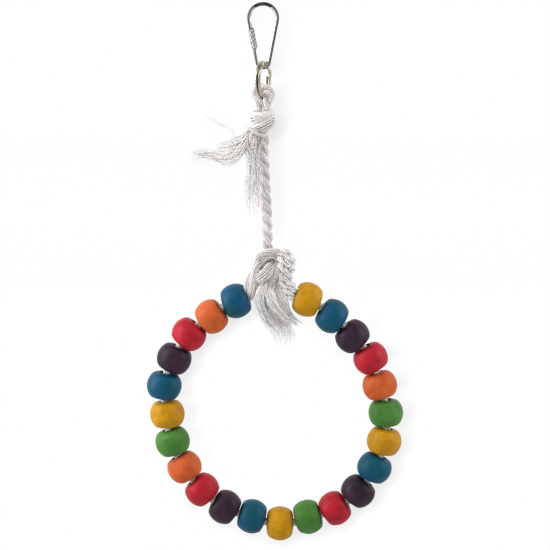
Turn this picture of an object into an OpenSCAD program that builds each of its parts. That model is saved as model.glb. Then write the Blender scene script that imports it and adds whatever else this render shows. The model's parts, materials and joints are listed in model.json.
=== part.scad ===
// Hanging bead-ring perch for a cage bird: a pear-shaped screw link, a split ring, a cotton rope
// tied into an eye and a hanger, and a loop of the same rope threaded with turned wooden beads.
// Millimetres, +Z up. The loop lies in the XZ plane and is seen from -Y. The origin is the hang
// point: the inside of the link's top bend, where the cage bar sits.

/* [Hanging link] */
// Diameter of the link's wire
link_wire_d = 2; // [1.6:0.1:2.4]
// Radius of the wide top bend, on the wire's centreline
link_top_r = 7.6; // [6.6:0.1:9]
// Radius of the narrow bottom bend, on the wire's centreline
link_bottom_r = 3.1; // [2.9:0.1:3.6]
// Distance between the centres of the two bends
link_reach = 24; // [23:0.5:32]
// Opening between the wire's two ends, inside the sleeve
link_gap = 3.6; // [3:0.1:4.2]
// Outer diameter of the screw sleeve
sleeve_d = 3.2; // [3:0.1:3.6]
// Length of the screw sleeve
sleeve_len = 10.6; // [9:0.1:11.5]
// Distance from the end of the top bend down to the closed sleeve
sleeve_drop = 4.7; // [3.5:0.1:5.2]
// How far the upper wire end reaches into the closed sleeve
sleeve_grip = 2; // [1.5:0.1:2.4]

/* [Split ring] */
// Outer diameter of the ring
ring_d = 20; // [18:0.5:24]
// Width of the flat ring wire, along the ring's axis
ring_wire_w = 1.2; // [0.9:0.05:1.3]
// Thickness of the flat ring wire, across the ring
ring_wire_t = 1.4; // [1:0.1:1.8]
// Groove between the two turns
ring_groove = 0.5; // [0.45:0.05:0.6]
// How far the ring is turned from edge-on to the front
ring_yaw = 18; // [0:1:25]

/* [Rope] */
// Diameter of the hanger rope
rope_d = 6.4; // [5.6:0.1:7.2]
// Diameter of the rope where it is pulled tight through the ring
eye_rope_d = 5.4; // [4.6:0.1:6]
// Diameter of the rope where the beads press on it
loop_rope_d = 4.6; // [4:0.1:5]
// Length of the hanger between the two knots
hanger_len = 65; // [45:1:120]
// How far the hanger leans to the right on its way down
hanger_side = 2.2; // [0:0.1:6]

/* [Knots and tails] */
// Height of the upper knot
upper_knot_h = 14.5; // [13:0.5:18]
// Distance from the ring's lowest turn down to the upper knot
eye_leg = 5.2; // [4.5:0.1:8]
// Length of the loop that the lower knot takes up, between the first and the last bead's middles
knot_space = 37.8; // [36:0.2:50]
// Height of the lower knot's middle above the loop's mean circle
knot_rise = 16; // [14:0.5:22]
// Sideways distance from the hanger to the middle of the lower knot
knot_side = 6.2; // [5:0.1:7]

/* [Beads] */
// Number of beads on the loop
bead_count = 23; // [16:1:27]
// Diameter of a bead
bead_d = 19; // [17.5:0.5:21]
// Length of a bead along its hole
bead_len = 14.7; // [13.5:0.1:15]
// Slope of the bead's ends, which fall away from the mouth of the hole
bead_end_slope = 10; // [9:0.5:13]
// Room between the rope and the wall of the hole
bead_play = 1.1; // [1:0.05:1.4]
// Share of the beads' strays from the loop's line that is kept, 0 for a smooth ring
bead_stray = 0.6; // [0:0.05:0.6]
// Room between neighbouring beads
bead_gap = 0.46; // [0.4:0.02:1.5]

/* [Loop] */
// How far the loop departs from a circle
loop_oval = 2.6; // [0:0.1:3]
// Direction of the oval's long axis, from +X towards +Z
loop_lean = 115; // [90:1:140]
// Direction of the middle of the knot's gap, from +X towards +Z
knot_angle = 92; // [86:1:98]
// Sideways distance from the link to the loop's middle
loop_side = 6.7; // [4:0.1:9]

/* [Clearances] */
// Running clearance of the sleeve on the wire, on the radius
sleeve_clear = 0.05; // [0.02:0.01:0.1]
// Room between pieces that move against each other
moving_clear = 0.35; // [0.3:0.05:0.5]

/* [Hidden] */
LOOP_NAMES = [for (i = [1 : bead_count]) str("bead_", i < 10 ? "0" : "", i)];

smooth = 96;
hull_smooth = 28;
rope_sides = 10;
ply_sides = 8;

STEEL = [0.72, 0.71, 0.69];
WARM_STEEL = [0.74, 0.70, 0.62];
COTTON = [0.88, 0.86, 0.84];
// How far each bead hangs outside the loop's line, less than nothing for inside
BEAD_STRAYS = [0.7, -2.4, -0.2, -0.2, 1.8, -1.4, -0.7, -0.2, 0.1, 0, -2.1, 0.5, -2.6, -0.4, 0.6, 0.5,
    0.6, 0, -1.5, 0.3, -1.5, 0, 3.4];
// One letter for each bead, counted from the left of the knot down and round
BEAD_ORDER = "BORPBYGORPBYGRPBYGORPBY";
BEAD_COLOURS = [
    ["B", [0.05, 0.33, 0.47]],
    ["O", [0.83, 0.36, 0.14]],
    ["R", [0.76, 0.14, 0.22]],
    ["P", [0.20, 0.13, 0.20]],
    ["Y", [0.82, 0.60, 0.10]],
    ["G", [0.28, 0.52, 0.19]],
];

// Link: two bends joined by the tangent sides, which are a hair thicker and lap into the bends
wire_r = link_wire_d / 2;
link_lap = 0.05;
side_extra = 0.01;
side_r = wire_r + side_extra;
link_top_z = wire_r - link_top_r;
link_bottom_z = link_top_z - link_reach;
link_side_tilt = asin((link_top_r - link_bottom_r) / link_reach);
link_side_len = link_reach * cos(link_side_tilt);
lower_end_s = sleeve_drop + sleeve_grip + link_gap;

// Ring: it rests in the bottom bend with the corners of its band clear of the wire
ring_band = 2 * ring_wire_w + ring_groove;
ring_band_half_x = ring_band / 2 / cos(ring_yaw);
bend_room = link_bottom_r - wire_r - moving_clear;
ring_top_inside_z = ring_band_half_x < bend_room
    ? link_bottom_z - sqrt(pow(bend_room, 2) - pow(ring_band_half_x, 2))
    : link_bottom_z + (ring_band_half_x - bend_room) / tan(link_side_tilt);
ring_inside_r = ring_d / 2 - ring_wire_t;
ring_mid_r = ring_d / 2 - ring_wire_t / 2;
ring_z = ring_top_inside_z - ring_inside_r;
ring_seat_z = ring_z - ring_mid_r;

// Eye, upper knot and hanger
eye_r = norm([ring_band / 2, ring_wire_t / 2]) + moving_clear + eye_rope_d / 2;
eye_reach = eye_r + eye_rope_d / 2;
upper_knot_top_z = ring_seat_z - eye_leg;
upper_knot_z = upper_knot_top_z - upper_knot_h;
hanger_end_z = upper_knot_z - hanger_len;
hanger_rings = 7;

// Upper knot's core and turns, and the lower knot's place
upper_core_r = 0.7 * rope_d;
upper_turn_r = 0.52 * rope_d;
upper_turn_x = 0.75 * rope_d;
upper_turn_z = [upper_knot_h - 1.25 * upper_turn_r, upper_knot_h / 2];
lower_knot_half_h = 1.8 * rope_d;
lower_knot_cut = 8 * rope_d;
lower_knot_top_z = hanger_end_z - moving_clear;
lower_knot_x = hanger_side + knot_side;
lower_knot_z = lower_knot_top_z - lower_knot_half_h;

// Beads: the neighbours' ends tilt towards each other, most where the oval is tightest
bead_hole_d = loop_rope_d + 2 * bead_play;
bead_end_fall = bead_hole_d / 2 * tan(bead_end_slope);
oval_tilt = 1.17;
bead_turn = oval_tilt * 360 / (bead_count - 1 + knot_space / bead_len);
bead_peak = bead_len / 2 + bead_end_fall;
bead_pitch = bead_len * cos(bead_turn / 2) + bead_hole_d * sin(bead_turn / 2) + bead_gap;

// Loop: a slightly oval ring that holds the beads at equal steps along the rope
loop_len = bead_pitch * (bead_count - 1) + knot_space;
loop_r = loop_len / 2 / PI;
loop_z = lower_knot_z - knot_rise - loop_r;
knot_gap_turn = 360 * knot_space / loop_len;
first_bead_angle = knot_angle + knot_gap_turn / 2;
last_bead_angle = knot_angle + 360 - knot_gap_turn / 2;
loop_steps = 180;
direction_step = 0.5;
exit_steps = 5;
exit_run = 1.5;
exit_len = bead_len / 2 + exit_run;

// Routes of the rope's ends, in rope diameters from the middle of the knot that they leave
left_entry = [-1.3, 0.6];
left_entry_run = [0.4, 1.2];
right_entry = [0.5, 0];
right_entry_run = [0, 1];
exit_pull = 0.7;
knot_lobes = [[-0.85, 0.95, 1], [0.55, 0.8, 1.1], [0.5, -0.4, 1], [-0.9, -0.3, 1.1]];
lower_tail_route = [[-0.9, -0.5], [-1, -1.4], [-0.8, -2.6], [-0.3, -4.2], [0.2, -5.8]];
lower_tail_half = [0.7, 1, 1.2, 1.35, 1.8];
lower_tail_depth = [0.6, 0.8, 0.9, 0.8, 0.7];
left_tail_route = [[-0.85, 0.5], [-1.35, -0.4], [-2.4, -1.4], [-3.6, -2.2], [-4.8, -2.2], [-6.1, -1.9]];
left_tail_half = [0.4, 0.7, 0.9, 0.8, 0.5, 0.35];
left_tail_depth = [0.4, 0.6, 0.65, 0.6, 0.4, 0.25];
lobe_route = [[-1.6, -0.9], [-2.9, -1.3], [-4.2, -1.4]];
lobe_half = [0.5, 0.55, 0.35];
ply_route = [[-1.4, -0.8], [-2.6, 0.2], [-3.8, 1], [-5.2, 1.6]];
ply_half = 0.12;
down_tail_route = [[-0.5, 0.5], [-0.7, -1.6], [-0.9, -3.5], [-1, -5.9]];
down_tail_half = [0.5, 0.75, 0.95, 1.1];
down_tail_depth = [0.4, 0.45, 0.4, 0.35];

function unit(v) = v / norm(v);
function rope_route(route, middle, y = 0) =
    [for (p = route) [middle[0] + p[0] * rope_d, y, middle[1] + p[1] * rope_d]];

// Point of the loop at an angle, the rope's direction there, and the angle at a length along it
function loop_reach_at(a) = loop_r + loop_oval * cos(2 * (a - loop_lean));
function loop_point(a) =
    [loop_side + loop_reach_at(a) * cos(a), 0, loop_z + loop_reach_at(a) * sin(a)];
function loop_direction(a) = unit(loop_point(a + direction_step) - loop_point(a - direction_step));
function step_angle(i) = first_bead_angle + (last_bead_angle - first_bead_angle) * i / loop_steps;
function step_len(i) = norm(loop_point(step_angle(i + 1)) - loop_point(step_angle(i)));
loop_table = [for (i = 0, s = 0; i <= loop_steps; s = s + step_len(i), i = i + 1)
    [s, step_angle(i)]];
bead_run = loop_table[loop_steps][0];
function bead_angle(i) = lookup(bead_run * (i - 1) / (bead_count - 1), loop_table);

// Direction of a bead's hole, its middle, and the point of the rope midway between two neighbours
function bead_axis(i) = loop_direction(bead_angle(i));
function bead_stray_at(i) = bead_stray * BEAD_STRAYS[(i - 1) % len(BEAD_STRAYS)];
function bead_middle(i) = loop_point(bead_angle(i))
    + [bead_axis(i).z, 0, -bead_axis(i).x] * bead_stray_at(i);
function bead_half_step(i) = norm(bead_middle(i + 1) - bead_middle(i)) / 2;
function between_beads(i) = (bead_middle(i) + bead_axis(i) * bead_half_step(i)
    + bead_middle(i + 1) - bead_axis(i + 1) * bead_half_step(i)) / 2;

// Smooth curve between two points with a pull at each end
function curve_point(a, b, c, d, t) =
    pow(1 - t, 3) * a + 3 * t * pow(1 - t, 2) * b + 3 * t * t * (1 - t) * c + pow(t, 3) * d;
function curve(a, b, c, d, steps) = [for (i = [0 : steps]) curve_point(a, b, c, d, i / steps)];

// Faces of a tube of rings, each of the same number of sides, closed by a fan at each end
function tube_faces(rings, sides) = concat(
    [for (k = [1 : sides - 2]) [0, k, k + 1]],
    [for (i = [0 : rings - 2], k = [0 : sides - 1], half = [0, 1])
        let (a = i * sides + k, b = i * sides + (k + 1) % sides)
        half == 0 ? [a, a + sides, b + sides] : [a, b + sides, b]],
    [for (k = [1 : sides - 2]) let (e = (rings - 1) * sides) [e, e + k + 1, e + k]]);

// Rope along points near the XZ plane, with a half width across its run and a half depth along Y
module rope(points, half, depth, sides = rope_sides, first = undef, last = undef) {
    n = len(points);
    ring = [for (i = [0 : n - 1])
        let (ahead = points[min(i + 1, n - 1)] - points[max(i - 1, 0)],
             run = i == 0 && first != undef ? first
                 : i == n - 1 && last != undef ? last
                 : unit([ahead.x, 0, ahead.z]),
             across = [run.z, 0, -run.x] * half[i],
             deep = [0, depth[i], 0])
        for (k = [0 : sides - 1])
            points[i] + across * cos(360 * k / sides) + deep * sin(360 * k / sides)];
    polyhedron(ring, tube_faces(n, sides));
}

function same(value, count) = [for (i = [1 : count]) value];

// Straight side of the link on the left (-1) or right (1), with its run from the top bend down
module along_side(side) {
    translate([0, 0, link_top_z])
        rotate([0, side * link_side_tilt, 0])
            translate([side * link_top_r, 0, 0])
                children();
}

// Link wire: both bends, the right side, and the left side left open inside the sleeve
module link_wire() {
    color(STEEL) {
        link_bend(link_top_z, link_top_r, -link_side_tilt, 180 + 2 * link_side_tilt);
        along_side(-1) wire_run(-link_lap, sleeve_drop + sleeve_grip);
        along_side(1) wire_run(-link_lap, link_side_len + link_lap);
        link_bend(link_bottom_z, link_bottom_r, 180 + link_side_tilt, 180 - 2 * link_side_tilt);
        along_side(-1) wire_run(lower_end_s, link_side_len + link_lap);
    }
}

module link_bend(z, radius, start, turn) {
    translate([0, 0, z])
        rotate([90, 0, 0])
            rotate([0, 0, start])
                rotate_extrude(angle = turn, $fn = smooth)
                    translate([radius, 0])
                        circle(d = link_wire_d, $fn = smooth);
}

module wire_run(from, to) {
    translate([0, 0, -to])
        cylinder(r = side_r, h = to - from, $fn = smooth);
}

// Screw sleeve: a tube over the gap, which runs down the wire to open the link
module link_sleeve() {
    color(STEEL)
        along_side(-1)
            translate([0, 0, -sleeve_drop - sleeve_len])
                difference() {
                    cylinder(d = sleeve_d, h = sleeve_len, $fn = smooth);
                    translate([0, 0, -sleeve_len])
                        cylinder(r = side_r + sleeve_clear, h = 3 * sleeve_len, $fn = smooth);
                }
}

// Split ring: flat wire wound two turns, which steps over to the second turn beside its two ends
ring_start = 90;
ring_ramp = 30;
ring_ends = 20;
ring_wind = 720 - ring_ramp - 2 * ring_ends;
ring_step = 10;
ring_count = ring_wind / ring_step;
ring_turn_count = 360 / ring_step;
ring_near = 3;
ring_corner = ring_wire_w / 4;
ring_section = let (w = ring_wire_w / 2, t = ring_wire_t / 2, c = ring_corner)
    [[w, -t + c], [w, t - c], [w - c, t], [-w + c, t],
     [-w, t - c], [-w, -t + c], [-w + c, -t], [w - c, -t]];
function ring_shift(a) = let (u = min(1, max(0, (a - ring_wind / 2) / ring_ramp + 0.5)))
    (ring_wire_w + ring_groove) * (u * u * (3 - 2 * u) - 0.5);
function ring_station(i) = let (a = ring_wind * i / ring_count, b = a + ring_start)
    [for (p = ring_section) let (r = ring_mid_r + p[1]) [p[0] + ring_shift(a), r * sin(b), r * cos(b)]];
ring_points = [for (i = [0 : ring_count]) ring_station(i)];
ring_least_gap = min([for (i = [0 : ring_count - ring_turn_count], j = [-ring_near : ring_near])
    let (next = min(i + j + ring_turn_count, ring_count))
    min([for (p = ring_points[i], q = ring_points[next]) norm(p - q)])]);
echo(str("split ring, least gap between its turns: ", ring_least_gap, " mm"));

module split_ring() {
    color(WARM_STEEL)
        translate([0, 0, ring_z])
            rotate([0, 0, -ring_yaw])
                polyhedron([for (station = ring_points) each station],
                    tube_faces(ring_count + 1, len(ring_section)));
}

// Eye of the rope: up through the ring, over its lowest turn and down again
module rope_eye() {
    color(COTTON)
        translate([0, 0, ring_seat_z])
            rotate([0, 0, -ring_yaw]) {
                rotate([90, 0, 0])
                    rotate_extrude(angle = 180, $fn = smooth)
                        translate([eye_r, 0])
                            circle(d = eye_rope_d, $fn = smooth);
                for (side = [-1, 1])
                    translate([side * eye_r, 0, -eye_leg])
                        cylinder(d = eye_rope_d, h = eye_leg, $fn = smooth);
            }
}

// Upper knot: two turns of rope round the standing part, flat where the eye and the hanger meet it
module upper_knot() {
    color(COTTON)
        translate([0, 0, upper_knot_z])
            rotate_extrude($fn = smooth) {
                square([upper_core_r, upper_knot_h]);
                translate([0, upper_knot_h - upper_turn_r])
                    square([eye_reach, upper_turn_r]);
                for (z = upper_turn_z)
                    translate([upper_turn_x, z])
                        circle(r = upper_turn_r, $fn = smooth);
            }
}

// Frayed end of the upper knot: the bundle that points left, with a shorter lobe beside it
module upper_tail_left() {
    color(COTTON) {
        rope(rope_route(left_tail_route, [0, upper_knot_z]), left_tail_half * rope_d,
            left_tail_depth * rope_d);
        rope(rope_route(lobe_route, [0, upper_knot_z]), lobe_half * rope_d, lobe_half * rope_d);
    }
}

// Single loose yarn of the upper knot
module upper_tail_ply() {
    color(COTTON)
        rope(rope_route(ply_route, [0, upper_knot_z]), same(ply_half * rope_d, len(ply_route)),
            same(ply_half * rope_d, len(ply_route)), ply_sides);
}

// Frayed end of the upper knot that hangs down in front of the hanger
module upper_tail_down() {
    in_front = -rope_d / 2 - moving_clear - max(down_tail_depth) * rope_d;
    color(COTTON)
        rope(rope_route(down_tail_route, [0, upper_knot_z], in_front), down_tail_half * rope_d,
            down_tail_depth * rope_d);
}

// Hanger: the rope between the two knots, upright at both ends
module hanger_rope() {
    route = [for (i = [0 : hanger_rings - 1]) let (t = i / (hanger_rings - 1))
        [hanger_side * t * t * (3 - 2 * t), 0, upper_knot_z - hanger_len * t]];
    color(COTTON)
        rope(route, same(rope_d / 2, hanger_rings), same(rope_d / 2, hanger_rings),
            first = [0, 0, -1], last = [0, 0, -1]);
}

// Lower knot: the bulk of the knot that closes the loop, flat on top under the hanger
module lower_knot() {
    color(COTTON)
        intersection() {
            hull()
                for (lobe = knot_lobes)
                    translate([lower_knot_x + lobe[0] * rope_d, 0, lower_knot_z + lobe[1] * rope_d])
                        sphere(r = lobe[2] * rope_d, $fn = hull_smooth);
            translate([lower_knot_x, 0, lower_knot_top_z - lower_knot_cut / 2])
                cube(lower_knot_cut, center = true);
        }
}

// Frayed end of the lower knot: a tassel that flares into the loop
module lower_tail() {
    color(COTTON)
        rope(rope_route(lower_tail_route, [lower_knot_x, lower_knot_z]), lower_tail_half * rope_d,
            lower_tail_depth * rope_d);
}

// Loop: the rope that carries the beads, with both ends bent up into the lower knot
module loop_rope() {
    start = bead_middle(1) - bead_axis(1) * exit_len;
    end = bead_middle(bead_count) + bead_axis(bead_count) * exit_len;
    in_knot = [lower_knot_x, 0, lower_knot_z];
    left_end = in_knot + [left_entry[0], 0, left_entry[1]] * rope_d;
    right_end = in_knot + [right_entry[0], 0, right_entry[1]] * rope_d;
    left = curve(left_end, left_end - [left_entry_run[0], 0, left_entry_run[1]] * rope_d,
        start - bead_axis(1) * exit_pull * rope_d, start, exit_steps);
    right = curve(end, end + bead_axis(bead_count) * exit_pull * rope_d,
        right_end - [right_entry_run[0], 0, right_entry_run[1]] * rope_d, right_end, exit_steps);
    beads = [for (i = [1 : bead_count - 1]) between_beads(i)];
    route = concat(left, beads, right);
    color(COTTON)
        rope(route, same(loop_rope_d / 2, len(route)), same(loop_rope_d / 2, len(route)));
}

// Bead: turned to a ball, cut off nearly flat at both ends of its hole, threaded loosely on the loop
module bead(i) {
    run = bead_axis(i);
    letter = BEAD_ORDER[(i - 1) % len(BEAD_ORDER)];
    color(BEAD_COLOURS[search(letter, BEAD_COLOURS)[0]][1])
        translate(bead_middle(i))
            rotate([0, atan2(run.x, run.z), 0])
                difference() {
                    rotate_extrude($fn = smooth)
                        intersection() {
                            circle(d = bead_d, $fn = smooth);
                            polygon([[0, -bead_peak], [bead_d, bead_d * tan(bead_end_slope) - bead_peak],
                                [bead_d, bead_peak - bead_d * tan(bead_end_slope)], [0, bead_peak]]);
                        }
                    cylinder(d = bead_hole_d, h = 2 * bead_len, center = true, $fn = smooth);
                }
}

link_wire();
link_sleeve();
split_ring();
rope_eye();
upper_knot();
upper_tail_left();
upper_tail_ply();
upper_tail_down();
hanger_rope();
lower_knot();
lower_tail();
loop_rope();
for (i = [1 : bead_count])
    bead(i);
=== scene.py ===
import json
import math

import bmesh
import bpy
import numpy as np
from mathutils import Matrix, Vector


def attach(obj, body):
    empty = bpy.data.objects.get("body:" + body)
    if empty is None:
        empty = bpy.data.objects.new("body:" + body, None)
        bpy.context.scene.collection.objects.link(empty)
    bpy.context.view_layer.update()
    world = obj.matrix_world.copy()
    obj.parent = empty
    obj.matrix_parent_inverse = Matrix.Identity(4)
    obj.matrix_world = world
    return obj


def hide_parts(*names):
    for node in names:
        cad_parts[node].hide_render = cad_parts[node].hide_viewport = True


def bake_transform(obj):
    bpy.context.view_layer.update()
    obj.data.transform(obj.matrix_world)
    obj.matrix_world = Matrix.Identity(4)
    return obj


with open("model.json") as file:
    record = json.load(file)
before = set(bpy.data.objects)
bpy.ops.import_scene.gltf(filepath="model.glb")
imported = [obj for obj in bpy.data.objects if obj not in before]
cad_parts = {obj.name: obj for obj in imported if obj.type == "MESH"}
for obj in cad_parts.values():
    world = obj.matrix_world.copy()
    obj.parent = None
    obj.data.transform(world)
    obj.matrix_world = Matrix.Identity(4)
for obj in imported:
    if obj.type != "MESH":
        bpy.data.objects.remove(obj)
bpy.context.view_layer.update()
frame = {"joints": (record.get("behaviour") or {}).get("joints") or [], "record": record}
scene = bpy.context.scene
scene.view_settings.view_transform = "Standard"


# Camera, light and ground
# The toy is seen from the front and a little above, through a long lens, against a white sheet.
# Softboxes stand at both sides and above, and a pale floor lies below the ring of beads.
def srgb(r, g, b):
    """Linear colour of an sRGB colour given in steps of 255."""
    return tuple(c / 3294.6 if c < 10.3 else ((c / 255 + 0.055) / 1.055) ** 2.4 for c in (r, g, b)) + (1,)


def add_node(tree, kind, inputs=None, **settings):
    """Adds a node, sets its settings, and sets or links its inputs."""
    made = tree.nodes.new(kind)
    for name, value in settings.items():
        setattr(made, name, value)
    for name, value in (inputs or {}).items():
        if isinstance(value, bpy.types.NodeSocket):
            tree.links.new(value, made.inputs[name])
        else:
            made.inputs[name].default_value = value
    return made


def maths(tree, operation, a, b=0.0, c=0.0):
    return add_node(tree, "ShaderNodeMath", {0: a, 1: b, 2: c}, operation=operation).outputs[0]


def vectors(tree, operation, a, b=(0, 0, 0)):
    return add_node(tree, "ShaderNodeVectorMath", {0: a, 1: b}, operation=operation).outputs[0]


def ranged(tree, value, low, high, to_low=0.0, to_high=1.0):
    """A value's place between two bounds, brought to two others and kept between them."""
    return add_node(tree, "ShaderNodeMapRange", {
        "Value": value, "From Min": low, "From Max": high, "To Min": to_low, "To Max": to_high}).outputs[0]


def blank_material(name):
    made = bpy.data.materials.new(name)
    made.use_nodes = True
    made.node_tree.nodes.clear()
    return made, made.node_tree


def put(name, data):
    made = bpy.data.objects.new(name, data)
    scene.collection.objects.link(made)
    return made


VIEW_WIDTH = 0.2997
VIEW_CENTRE = Vector((0.0064, 0, -0.1482))
VIEW_DROP = math.radians(12)
LENS_MM = 300
SENSOR_MM = 36
distance = VIEW_WIDTH * LENS_MM / SENSOR_MM
camera = put("camera", bpy.data.cameras.new("camera"))
camera.data.lens = LENS_MM
camera.data.sensor_width = SENSOR_MM
camera.location = VIEW_CENTRE + distance * Vector((0, -math.cos(VIEW_DROP), math.sin(VIEW_DROP)))
camera.rotation_euler = (math.radians(90) - VIEW_DROP, 0, 0)
scene.camera = camera


def softbox(name, place, aim, width, height, power):
    lamp = bpy.data.lights.new(name, "AREA")
    lamp.shape = "RECTANGLE"
    lamp.size = width
    lamp.size_y = height
    lamp.energy = power
    made = put(name, lamp)
    made.location = place
    made.rotation_euler = (Vector(aim) - Vector(place)).to_track_quat("-Z", "Y").to_euler()


softbox("softbox_left", (-0.70, -0.17, 0.08), (0.0, 0.0, -0.17), 0.5, 0.8, 6.1)
softbox("softbox_right", (0.66, -0.16, 0.12), (0.02, 0.0, -0.17), 0.4, 0.7, 3.0)
softbox("softbox_top", (-0.15, -0.35, 0.50), (0.0, 0.0, -0.1), 0.4, 0.4, 1.0)

FRONT_AMBIENT = 0.40
BACK_AMBIENT = 0.95
ROOM_GLOSS = 0.05
FRONT_GLOSS = 0.6
BEHIND_EDGE = (0.05, 0.35)
FRONT_EDGE = (-0.75, -0.97)
AMBIENT_EDGE = (-0.2, 0.5)
world = bpy.data.worlds.new("studio")
scene.world = world
world.use_nodes = True
sky = world.node_tree
sky.nodes.clear()
rays = add_node(sky, "ShaderNodeLightPath").outputs
direction = add_node(sky, "ShaderNodeTexCoord").outputs["Generated"]
facing = add_node(sky, "ShaderNodeSeparateXYZ", {0: direction}).outputs
behind = ranged(sky, facing["Y"], *BEHIND_EDGE, ROOM_GLOSS, 1.0)
before = ranged(sky, facing["Y"], *FRONT_EDGE, ROOM_GLOSS, FRONT_GLOSS)
mirrored = maths(sky, "MAXIMUM", behind, before)
seen = maths(sky, "MAXIMUM", rays["Is Camera Ray"], rays["Is Transmission Ray"])
ambient = ranged(sky, facing["Y"], *AMBIENT_EDGE, FRONT_AMBIENT, BACK_AMBIENT)
lit = maths(sky, "MULTIPLY_ADD", rays["Is Glossy Ray"], maths(sky, "SUBTRACT", mirrored, ambient), ambient)
strength = maths(sky, "MULTIPLY_ADD", seen, maths(sky, "SUBTRACT", 1.0, lit), lit)
background = add_node(sky, "ShaderNodeBackground", {"Color": (1, 1, 1, 1), "Strength": strength})
add_node(sky, "ShaderNodeOutputWorld", {"Surface": background.outputs[0]})

FLOOR_Z = -0.316
FLOOR_HALF = 1.5
FLOOR_COLOUR = (0.6, 0.6, 0.6, 1)
FLOOR_GLOW = 0.6
FLOOR_REACH = (0.015, 0.035)
FLOOR_SHARE = (0.3, 1, 1)
floor_paint, tree = blank_material("floor_paint")
rays = add_node(tree, "ShaderNodeLightPath").outputs
place = add_node(tree, "ShaderNodeTexCoord").outputs["Object"]
away = add_node(tree, "ShaderNodeVectorMath", {
    0: vectors(tree, "MULTIPLY", place, FLOOR_SHARE)}, operation="LENGTH").outputs["Value"]
matt = add_node(tree, "ShaderNodeBsdfDiffuse", {"Color": FLOOR_COLOUR})
glow = add_node(tree, "ShaderNodeEmission", {
    "Strength": maths(tree, "MULTIPLY", rays["Is Camera Ray"], FLOOR_GLOW)})
near = add_node(tree, "ShaderNodeAddShader", {0: matt.outputs[0], 1: glow.outputs[0]})
far = add_node(tree, "ShaderNodeEmission")
whole = maths(tree, "MULTIPLY", rays["Is Camera Ray"], ranged(tree, away, *FLOOR_REACH))
laid = add_node(tree, "ShaderNodeMixShader", {0: whole, 1: near.outputs[0], 2: far.outputs[0]})
add_node(tree, "ShaderNodeOutputMaterial", {"Surface": laid.outputs[0]})
data = bpy.data.meshes.new("floor")
data.from_pydata([(x * FLOOR_HALF, y * FLOOR_HALF, 0) for x, y in ((-1, -1), (1, -1), (1, 1), (-1, 1))],
                 [], [(0, 1, 2, 3)])
data.materials.append(floor_paint)
floor = put("floor", data)
floor.location.z = FLOOR_Z


def eased(t):
    """A share from 0 to 1 that starts and ends softly."""
    return t * t * (3 - 2 * t)


SHEET_X = (-0.16, 0.17)
SHEET_Z = (0.015, -0.315)
SHEET_BEND = (-0.070, -0.155)
SHEET_Y = (0.0046, 0.0104)
SHADE_REACH = 0.0110
SHADE_DEPTH = 0.45
LIT_WAY = (-0.5, -0.55, 0.67)
FAR_WAY = (0.5, -0.55, -0.67)
SHADE_SAMPLES = 24
# The sheet is see-through. Seen from the front by the camera, it carries a painted shadow: ambient occlusion,
# looked for towards the light, darkens it at the lower right of nearby parts.
white_sheet, tree = blank_material("white_sheet")
rays = add_node(tree, "ShaderNodeLightPath").outputs
behind = add_node(tree, "ShaderNodeNewGeometry").outputs["Backfacing"]
open_sides = []
for way in (LIT_WAY, FAR_WAY):
    aim = add_node(tree, "ShaderNodeCombineXYZ", dict(enumerate(way))).outputs[0]
    open_sides.append(add_node(tree, "ShaderNodeAmbientOcclusion", {
        "Distance": SHADE_REACH, "Normal": aim}, samples=SHADE_SAMPLES).outputs["AO"])
shade = maths(tree, "MAXIMUM", maths(tree, "SUBTRACT", open_sides[1], open_sides[0]), 0.0)
shown = maths(tree, "MULTIPLY", rays["Is Camera Ray"], maths(tree, "SUBTRACT", 1.0, behind))
tint = maths(tree, "MULTIPLY_ADD", maths(tree, "MULTIPLY", shade, shown), -SHADE_DEPTH, 1.0)
tint = add_node(tree, "ShaderNodeCombineColor", {0: tint, 1: tint, 2: tint}).outputs[0]
through = add_node(tree, "ShaderNodeBsdfTransparent", {"Color": tint})
add_node(tree, "ShaderNodeOutputMaterial", {"Surface": through.outputs[0]})
sheet_route = [(SHEET_Y[0], SHEET_Z[0])]
for t in np.linspace(0, 1, 40):
    sheet_route.append((SHEET_Y[0] + (SHEET_Y[1] - SHEET_Y[0]) * eased(t),
                        SHEET_BEND[0] + (SHEET_BEND[1] - SHEET_BEND[0]) * t))
sheet_route.append((SHEET_Y[1], SHEET_Z[1]))
data = bpy.data.meshes.new("white_sheet")
data.from_pydata([(x, y, z) for y, z in sheet_route for x in SHEET_X], [],
                 [(2 * i, 2 * i + 2, 2 * i + 3, 2 * i + 1) for i in range(len(sheet_route) - 1)])
data.materials.append(white_sheet)
put("white_sheet", data)


# Link wire
# Round steel wire bent to a pear shape and plated with bright nickel.
# Its outer side and the top of its bend carry a painted dark reflection. Its two ends stand apart on the left
# side, in the sleeve.
def scaled(tree, vector, factor):
    return add_node(tree, "ShaderNodeVectorMath", {0: vector, "Scale": factor}, operation="SCALE").outputs[0]


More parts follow.
